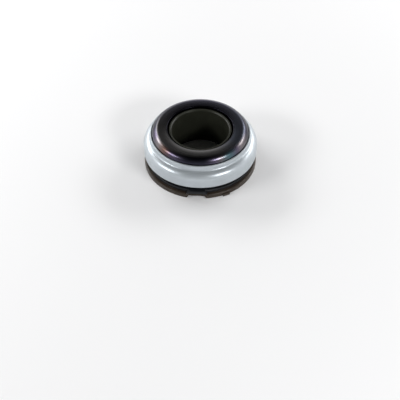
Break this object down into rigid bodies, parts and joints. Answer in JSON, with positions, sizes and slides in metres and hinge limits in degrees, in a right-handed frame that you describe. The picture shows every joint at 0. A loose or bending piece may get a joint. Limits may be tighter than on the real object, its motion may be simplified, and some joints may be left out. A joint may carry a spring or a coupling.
{
  "type": "clutch release bearing",
  "caption": "Self-centring clutch release bearing: a sleeve that slides on a guide tube carries a covered ball bearing whose dark contact ring turns.",
  "frame": {"origin": "On the bearing's axis, at the fork side, which is the face it stands on.", "axes": "+Z runs along the axis from the fork side to the contact face. The two fork notches lie along Y, and -Y is the front."},
  "size_m": [0.06, 0.06, 0.0228],
  "materials": {
    "black_nylon": "satin moulded",
    "zinc_plate": "bright zinc plating on drawn sheet",
    "tempered_steel": "turned, with blue-black temper colours",
    "bearing_steel": "ground",
    "ball_steel": "polished",
    "cage_nylon": "moulded",
    "seal_rubber": "moulded",
    "spring_steel": "oiled"
  },
  "bodies": {
    "sleeve": {"guide_sleeve": "black_nylon"},
    "spring": {"centring_spring": "spring_steel"},
    "bearing_unit": {"outer_ring": "bearing_steel", "grease_seal": "seal_rubber", "cover": "zinc_plate"},
    "turning_ring": {"contact_ring": "tempered_steel"},
    "cage": {"ball_cage": "cage_nylon"},
    "ball_01": {"ball_01": "ball_steel"},
    "ball_02": {"ball_02": "ball_steel"},
    "ball_03": {"ball_03": "ball_steel"},
    "ball_04": {"ball_04": "ball_steel"},
    "ball_05": {"ball_05": "ball_steel"},
    "ball_06": {"ball_06": "ball_steel"},
    "ball_07": {"ball_07": "ball_steel"},
    "ball_08": {"ball_08": "ball_steel"},
    "ball_09": {"ball_09": "ball_steel"},
    "ball_10": {"ball_10": "ball_steel"},
    "ball_11": {"ball_11": "ball_steel"},
    "ball_12": {"ball_12": "ball_steel"},
    "ball_13": {"ball_13": "ball_steel"},
    "ball_14": {"ball_14": "ball_steel"},
    "ball_15": {"ball_15": "ball_steel"},
    "ball_16": {"ball_16": "ball_steel"},
    "ball_17": {"ball_17": "ball_steel"},
    "ball_18": {"ball_18": "ball_steel"}
  },
  "joints": [
    {"name": "float_x", "type": "slide", "parent": "sleeve", "child": "spring", "axis": [1, 0, 0], "range_m": [-0.00065, 0.00065]},
    {"name": "float_y", "type": "slide", "parent": "spring", "child": "bearing_unit", "axis": [0, 1, 0], "range_m": [-0.00065, 0.00065]},
    {"name": "ring_spin", "type": "hinge", "parent": "bearing_unit", "child": "turning_ring", "pos_m": [0, 0, 0.01563], "axis": [0, 0, 1], "continuous": true},
    {"name": "cage_orbit", "type": "hinge", "parent": "bearing_unit", "child": "cage", "pos_m": [0, 0, 0.01563], "axis": [0, 0, 1], "continuous": true},
    {"name": "ball_01_roll", "type": "hinge", "parent": "cage", "child": "ball_01", "pos_m": [0.02233, 0.00394, 0.01563], "axis": [0.6964, 0.1228, 0.7071], "continuous": true},
    {"name": "ball_02_roll", "type": "hinge", "parent": "cage", "child": "ball_02", "pos_m": [0.01964, 0.01134, 0.01563], "axis": [0.6124, 0.3536, 0.7071], "continuous": true},
    {"name": "ball_03_roll", "type": "hinge", "parent": "cage", "child": "ball_03", "pos_m": [0.01458, 0.01737, 0.01563], "axis": [0.4545, 0.5417, 0.7071], "continuous": true},
    {"name": "ball_04_roll", "type": "hinge", "parent": "cage", "child": "ball_04", "pos_m": [0.00776, 0.02131, 0.01563], "axis": [0.2418, 0.6645, 0.7071], "continuous": true},
    {"name": "ball_05_roll", "type": "hinge", "parent": "cage", "child": "ball_05", "pos_m": [0, 0.02268, 0.01563], "axis": [0, 0.7071, 0.7071], "continuous": true},
    {"name": "ball_06_roll", "type": "hinge", "parent": "cage", "child": "ball_06", "pos_m": [-0.00776, 0.02131, 0.01563], "axis": [-0.2418, 0.6645, 0.7071], "continuous": true},
    {"name": "ball_07_roll", "type": "hinge", "parent": "cage", "child": "ball_07", "pos_m": [-0.01458, 0.01737, 0.01563], "axis": [-0.4545, 0.5417, 0.7071], "continuous": true},
    {"name": "ball_08_roll", "type": "hinge", "parent": "cage", "child": "ball_08", "pos_m": [-0.01964, 0.01134, 0.01563], "axis": [-0.6124, 0.3536, 0.7071], "continuous": true},
    {"name": "ball_09_roll", "type": "hinge", "parent": "cage", "child": "ball_09", "pos_m": [-0.02233, 0.00394, 0.01563], "axis": [-0.6964, 0.1228, 0.7071], "continuous": true},
    {"name": "ball_10_roll", "type": "hinge", "parent": "cage", "child": "ball_10", "pos_m": [-0.02233, -0.00394, 0.01563], "axis": [-0.6964, -0.1228, 0.7071], "continuous": true},
    {"name": "ball_11_roll", "type": "hinge", "parent": "cage", "child": "ball_11", "pos_m": [-0.01964, -0.01134, 0.01563], "axis": [-0.6124, -0.3536, 0.7071], "continuous": true},
    {"name": "ball_12_roll", "type": "hinge", "parent": "cage", "child": "ball_12", "pos_m": [-0.01458, -0.01737, 0.01563], "axis": [-0.4545, -0.5417, 0.7071], "continuous": true},
    {"name": "ball_13_roll", "type": "hinge", "parent": "cage", "child": "ball_13", "pos_m": [-0.00776, -0.02131, 0.01563], "axis": [-0.2418, -0.6645, 0.7071], "continuous": true},
    {"name": "ball_14_roll", "type": "hinge", "parent": "cage", "child": "ball_14", "pos_m": [0, -0.02268, 0.01563], "axis": [0, -0.7071, 0.7071], "continuous": true},
    {"name": "ball_15_roll", "type": "hinge", "parent": "cage", "child": "ball_15", "pos_m": [0.00776, -0.02131, 0.01563], "axis": [0.2418, -0.6645, 0.7071], "continuous": true},
    {"name": "ball_16_roll", "type": "hinge", "parent": "cage", "child": "ball_16", "pos_m": [0.01458, -0.01737, 0.01563], "axis": [0.4545, -0.5417, 0.7071], "continuous": true},
    {"name": "ball_17_roll", "type": "hinge", "parent": "cage", "child": "ball_17", "pos_m": [0.01964, -0.01134, 0.01563], "axis": [0.6124, -0.3536, 0.7071], "continuous": true},
    {"name": "ball_18_roll", "type": "hinge", "parent": "cage", "child": "ball_18", "pos_m": [0.02233, -0.00394, 0.01563], "axis": [0.6964, -0.1228, 0.7071], "continuous": true}
  ],
  "couplings": [
    {"joint": "cage_orbit", "follows": "ring_spin", "ratio": 0.45669},
    {"joint": "ball_01_roll", "follows": "ring_spin", "ratio": -4.0511},
    {"joint": "ball_02_roll", "follows": "ring_spin", "ratio": -4.0511},
    {"joint": "ball_03_roll", "follows": "ring_spin", "ratio": -4.0511},
    {"joint": "ball_04_roll", "follows": "ring_spin", "ratio": -4.0511},
    {"joint": "ball_05_roll", "follows": "ring_spin", "ratio": -4.0511},
    {"joint": "ball_06_roll", "follows": "ring_spin", "ratio": -4.0511},
    {"joint": "ball_07_roll", "follows": "ring_spin", "ratio": -4.0511},
    {"joint": "ball_08_roll", "follows": "ring_spin", "ratio": -4.0511},
    {"joint": "ball_09_roll", "follows": "ring_spin", "ratio": -4.0511},
    {"joint": "ball_10_roll", "follows": "ring_spin", "ratio": -4.0511},
    {"joint": "ball_11_roll", "follows": "ring_spin", "ratio": -4.0511},
    {"joint": "ball_12_roll", "follows": "ring_spin", "ratio": -4.0511},
    {"joint": "ball_13_roll", "follows": "ring_spin", "ratio": -4.0511},
    {"joint": "ball_14_roll", "follows": "ring_spin", "ratio": -4.0511},
    {"joint": "ball_15_roll", "follows": "ring_spin", "ratio": -4.0511},
    {"joint": "ball_16_roll", "follows": "ring_spin", "ratio": -4.0511},
    {"joint": "ball_17_roll", "follows": "ring_spin", "ratio": -4.0511},
    {"joint": "ball_18_roll", "follows": "ring_spin", "ratio": -4.0511}
  ]
}
